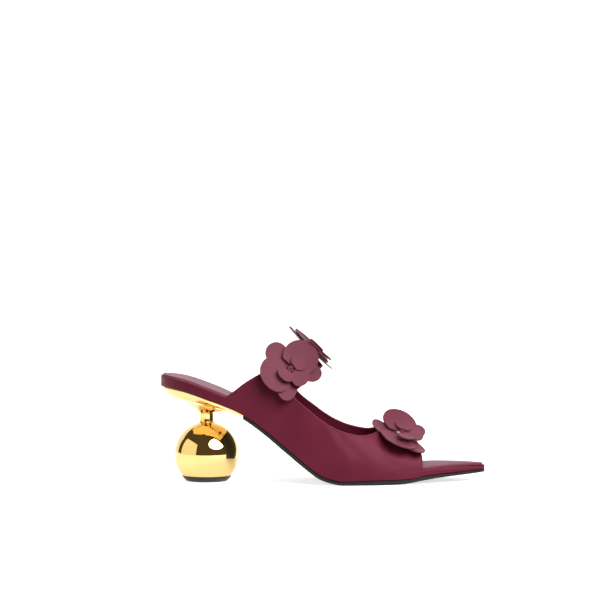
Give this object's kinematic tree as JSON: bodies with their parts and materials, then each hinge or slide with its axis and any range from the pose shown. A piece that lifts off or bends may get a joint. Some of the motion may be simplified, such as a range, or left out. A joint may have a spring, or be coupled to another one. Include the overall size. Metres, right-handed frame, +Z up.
{
  "type": "heeled mule",
  "caption": "Slip-on mule with an open pointed toe, one-piece satin upper with instep strap, metal ball heel and leather flowers.",
  "frame": {"origin": "middle of the heel tip's flat underside, on the floor", "axes": "+X towards the toe, +Y towards the inner side of the foot, +Z up"},
  "size_m": [0.2389, 0.0817, 0.114],
  "materials": {
    "satin": "burgundy satin",
    "sock_lining": "fine ribbed sheen",
    "sole_black": "polished black",
    "gold": "mirror gold plate",
    "tip_rubber": "matt",
    "petal_leather": "soft matt grain"
  },
  "bodies": {
    "root": {"outsole": "sole_black", "footbed": "satin", "insole_sock": "sock_lining", "upper": "satin", "ball_heel": "gold", "heel_tip": "tip_rubber", "side_flower_outer_back": "petal_leather", "side_flower_outer_low": "petal_leather", "side_flower_outer_front": "petal_leather", "side_flower_outer_top": "petal_leather", "side_flower_outer_rear": "petal_leather", "side_flower_inner_front": "petal_leather", "side_flower_inner_top": "petal_leather", "side_flower_inner_rear": "petal_leather", "side_flower_bud": "petal_leather", "strap_flower_outer_back": "petal_leather", "strap_flower_outer_low": "petal_leather", "strap_flower_outer_front": "petal_leather", "strap_flower_outer_top": "petal_leather", "strap_flower_outer_rear": "petal_leather", "strap_flower_inner_front": "petal_leather", "strap_flower_inner_top": "petal_leather", "strap_flower_inner_rear": "petal_leather", "strap_flower_bud": "petal_leather", "toe_flower_outer_back": "petal_leather", "toe_flower_outer_low": "petal_leather", "toe_flower_outer_front": "petal_leather", "toe_flower_outer_top": "petal_leather", "toe_flower_outer_rear": "petal_leather", "toe_flower_inner_front": "petal_leather", "toe_flower_inner_top": "petal_leather", "toe_flower_inner_rear": "petal_leather", "toe_flower_bud": "petal_leather"}
  },
  "joints": []
}
